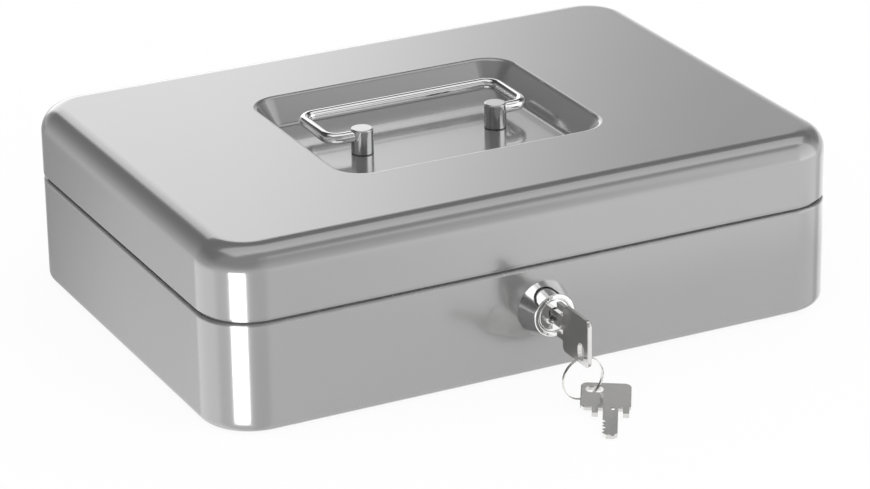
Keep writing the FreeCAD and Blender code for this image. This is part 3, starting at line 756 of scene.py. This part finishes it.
# How far each of the other pieces' edges is rounded
EDGES = {
    "handle_post_left": 0.35 * MM,
    "handle_post_right": 0.35 * MM,
    "post_washers": 0.12 * MM,
    "post_screws": 0.15 * MM,
    "hinge_base_leaf_left": 0.15 * MM,
    "hinge_base_leaf_right": 0.15 * MM,
    "hinge_lid_leaf_left": 0.15 * MM,
    "hinge_lid_leaf_right": 0.15 * MM,
    "hinge_pin_left": 0.15 * MM,
    "hinge_pin_right": 0.15 * MM,
    "lock_housing": 0.12 * MM,
    "lock_washer": 0.12 * MM,
    "lock_nut": 0.2 * MM,
    "lock_plug": 0.08 * MM,
    "lock_wafers": 0.05 * MM,
    "lock_cam": 0.15 * MM,
    "cam_screw": 0.15 * MM,
    "strike_plate": 0.15 * MM,
    "key": 0.12 * MM,
    "spare_key": 0.12 * MM,
    "coin_tray": 0.35 * MM,
}

place_of(smoothed(skinned("lid_skin", lid_loops())), "lid_shell")
place_of(base_skin(), "base_shell")
place_of(handle_bail(), "handle_bail")
place_of(split_ring(), "key_ring")
for node, edge in EDGES.items():
    place_of(dressed(node, edge), node)


def heading(azimuth):
    """A level direction, in degrees round from the front."""
    angle = math.radians(azimuth)
    return Vector((math.sin(angle), -math.cos(angle), 0))


def make_camera():
    """The photograph's view."""
    data = bpy.data.cameras.new("camera")
    data.lens = CAMERA_LENS
    data.sensor_width = SENSOR_WIDTH
    camera = bpy.data.objects.new("camera", data)
    scene.collection.objects.link(camera)
    back = Vector((
        math.sin(CAMERA_AZIMUTH) * math.cos(CAMERA_ELEVATION),
        -math.cos(CAMERA_AZIMUTH) * math.cos(CAMERA_ELEVATION),
        math.sin(CAMERA_ELEVATION),
    ))
    level = Vector((math.cos(CAMERA_AZIMUTH), math.sin(CAMERA_AZIMUTH), 0))
    upright = back.cross(level)
    right = level * math.cos(CAMERA_ROLL) + upright * math.sin(CAMERA_ROLL)
    up = back.cross(right)
    turn = Matrix((right, up, back)).transposed().to_4x4()
    camera.matrix_world = Matrix.Translation(CAMERA_TARGET + back * CAMERA_DISTANCE) @ turn
    scene.camera = camera


def studio_world():
    """White to the camera. Reflections see a pale lower half, and soft panels and gaps above it."""
    world = bpy.data.worlds.new("studio")
    scene.world = world
    world.use_nodes = True
    world.node_tree.nodes.clear()
    room = Tree(world.node_tree)
    toward = room.node("ShaderNodeTexCoord", output="Generated")
    x, y, z = [room.node("ShaderNodeSeparateXYZ", {}, {0: toward}, output=axis) for axis in "XYZ"]
    degrees = 180 / math.pi
    front = x.math("ARCTAN2", -1 * y) * degrees
    rear = x.math("ARCTAN2", y) * degrees
    height = z.math("ARCSINE") * degrees

    def between(value, low, high, soft):
        return value.rise(low - soft, low + soft) * (1 - value.rise(high - soft, high + soft))

    def panel(angle, spot):
        """The gain of one panel or gap, where it is."""
        across = between(angle, *spot.sides, spot.soft_sides)
        return spot.gain * (across * between(height, *spot.heights, spot.soft_heights))

    def faded(fade):
        return fade.low + (fade.high - fade.low) * height.rise(*fade.heights)

    low_room = LOW_ROOM
    for band in LOW_BANDS:
        low_room = low_room + band.gain * between(front, *band.sides, band.soft)
    low_room = low_room + LOW_REAR_GAIN * y.rise(*LOW_REAR)
    front_room = faded(FRONT_ROOM)
    high_room = front_room + y.rise(*BEHIND) * (faded(REAR_ROOM) - front_room)
    level = low_room + height.rise(*HORIZON) * (high_room - low_room)
    over_z = z.math("MAXIMUM", LEAST_RISE)
    top_panel = between(x / over_z, *TOP_ACROSS) * between(y / over_z, *TOP_ALONG) * height.rise(*TOP_CLEAR)
    depth = room.node("ShaderNodeLightPath", output="Ray Depth")
    again = depth.rise(*SECOND_RAY)
    seen = level + panel(rear, REAR_PANEL) + panel(rear, REAR_SIDE) + TOP_GAIN * top_panel
    seen = seen + (1 - again) * (panel(front, FRONT_PANEL) + panel(front, SLOPE_PANEL))
    seen = seen * (1 - panel(front, LEFT_GAP)) * (1 - again * panel(front, SECOND_LEFT_GAP))
    seen = seen * (1 - panel(front, RIGHT_GAP))
    below = between(front, *SECOND_LOW_GAP.sides, SECOND_LOW_GAP.soft) * (1 - height.rise(*SECOND_LOW_TOP))
    seen = seen * (1 - SECOND_LOW_GAP.gain * again * below)
    seen = seen + again * (panel(front, SECOND_HIGH_PANEL) + panel(front, SECOND_SIDE_PANEL))
    camera = room.node("ShaderNodeLightPath", output="Is Camera Ray")
    glossy = room.node("ShaderNodeLightPath", output="Is Glossy Ray")
    through = room.node("ShaderNodeLightPath", output="Is Transmission Ray")
    white = camera.math("MAXIMUM", through)
    unseen = glossy * seen + (1 - glossy) * AMBIENT
    light = room.node(
        "ShaderNodeBackground", {}, {"Color": (1, 1, 1, 1), "Strength": white + (1 - white) * unseen}
    )
    out = world.node_tree.nodes.new("ShaderNodeOutputWorld")
    room.feed(out.inputs["Surface"], light)


def make_floor():
    """A white floor that keeps a faint shadow of the box. Reflections see the room through it, tinted."""
    mesh = bpy.data.meshes.new("floor")
    level = cad_low.z - FLOOR_DROP
    signs = ((-1, -1), (1, -1), (1, 1), (-1, 1))
    corners = [(FLOOR_HALF * side_x, FLOOR_HALF * side_y, level) for side_x, side_y in signs]
    mesh.from_pydata(corners, [], [range(len(corners))])
    floor = new_piece("floor", mesh)
    material = bpy.data.materials.new("floor_white")
    material.use_nodes = True
    material.node_tree.nodes.clear()
    tree = Tree(material.node_tree)
    camera = tree.node("ShaderNodeLightPath", output="Is Camera Ray")
    glossy = tree.node("ShaderNodeLightPath", output="Is Glossy Ray")
    lit = tree.node("ShaderNodeBsdfDiffuse", {}, {"Color": (*grey(FLOOR_PAINT), 1)})
    glow = tree.node("ShaderNodeEmission", {}, {"Color": (1, 1, 1, 1), "Strength": FLOOR_WHITE})
    mixed = tree.node("ShaderNodeMixShader", {}, {0: FLOOR_GLOW * camera, 1: lit, 2: glow})
    place = tree.node("ShaderNodeTexCoord", output="Object")
    x, y = [tree.node("ShaderNodeSeparateXYZ", {}, {0: place}, output=axis) for axis in "XY"]
    away = (base_low.y - y).math("MAXIMUM", x - base_high.x)
    pool = away.rise(*POOL_AWAY) * x.rise(*POOL_ALONG)
    beside = base_low.x - x
    shade = beside.rise(*SHADE_AWAY) * (y - SHADE_SLANT * beside).rise(*SHADE_ALONG)
    plain, bright, dim = [
        tree.node("ShaderNodeBsdfTransparent", {}, {"Color": (*grey(gain), 1)})
        for gain in (1, POOL_GAIN, SHADE_GAIN)
    ]
    mirrored = tree.node("ShaderNodeMixShader", {}, {0: pool, 1: plain, 2: bright})
    mirrored = tree.node("ShaderNodeMixShader", {}, {0: shade, 1: mirrored, 2: dim})
    shown = tree.node("ShaderNodeMixShader", {}, {0: glossy, 1: mixed, 2: mirrored})
    out = material.node_tree.nodes.new("ShaderNodeOutputMaterial")
    tree.feed(out.inputs["Surface"], shown)
    mesh.materials.append(material)


def area_lamp(name, place, toward, size, power):
    """A rectangular lamp that the camera doesn't see."""
    data = bpy.data.lights.new(name, "AREA")
    data.shape = "RECTANGLE"
    data.size, data.size_y = size
    data.energy = power
    lamp = bpy.data.objects.new(name, data)
    scene.collection.objects.link(lamp)
    lamp.location = place
    lamp.rotation_mode = "QUATERNION"
    lamp.rotation_quaternion = Vector(toward).to_track_quat("-Z", "Y")
    lamp.visible_camera = False
    return lamp


def front_softbox():
    """A large soft lamp in front, which lights the case but isn't mirrored in it."""
    toward = SOFTBOX_AIM - SOFTBOX_PLACE
    lamp = area_lamp("front_softbox", SOFTBOX_PLACE, toward, SOFTBOX_SIZE, SOFTBOX_POWER)
    lamp.visible_glossy = False


def corner_strip():
    """A strip lamp close to the front left corner, which is only mirrored in it."""
    corner = Vector((lid_low.x + CORNER_R, lid_low.y + CORNER_R, 0))
    ends = []
    for normal, turn in STRIP_SIDES:
        ends.append(corner + CORNER_R * heading(normal) + STRIP_REACH * heading(turn))
    place = (ends[0] + ends[1]) / 2
    place.z = (STRIP_LOW + STRIP_HIGH) / 2
    across = ends[1] - ends[0]
    toward = Vector((across.y, -across.x, 0))
    size = (across.length, STRIP_HIGH - STRIP_LOW)
    lamp = area_lamp("corner_strip", place, toward, size, STRIP_GLOW * math.pi * size[0] * size[1])
    lamp.data.use_shadow = False
    lamp.visible_diffuse = False


make_camera()
studio_world()
make_floor()
front_softbox()
corner_strip()
scene.view_settings.view_transform = "Standard"
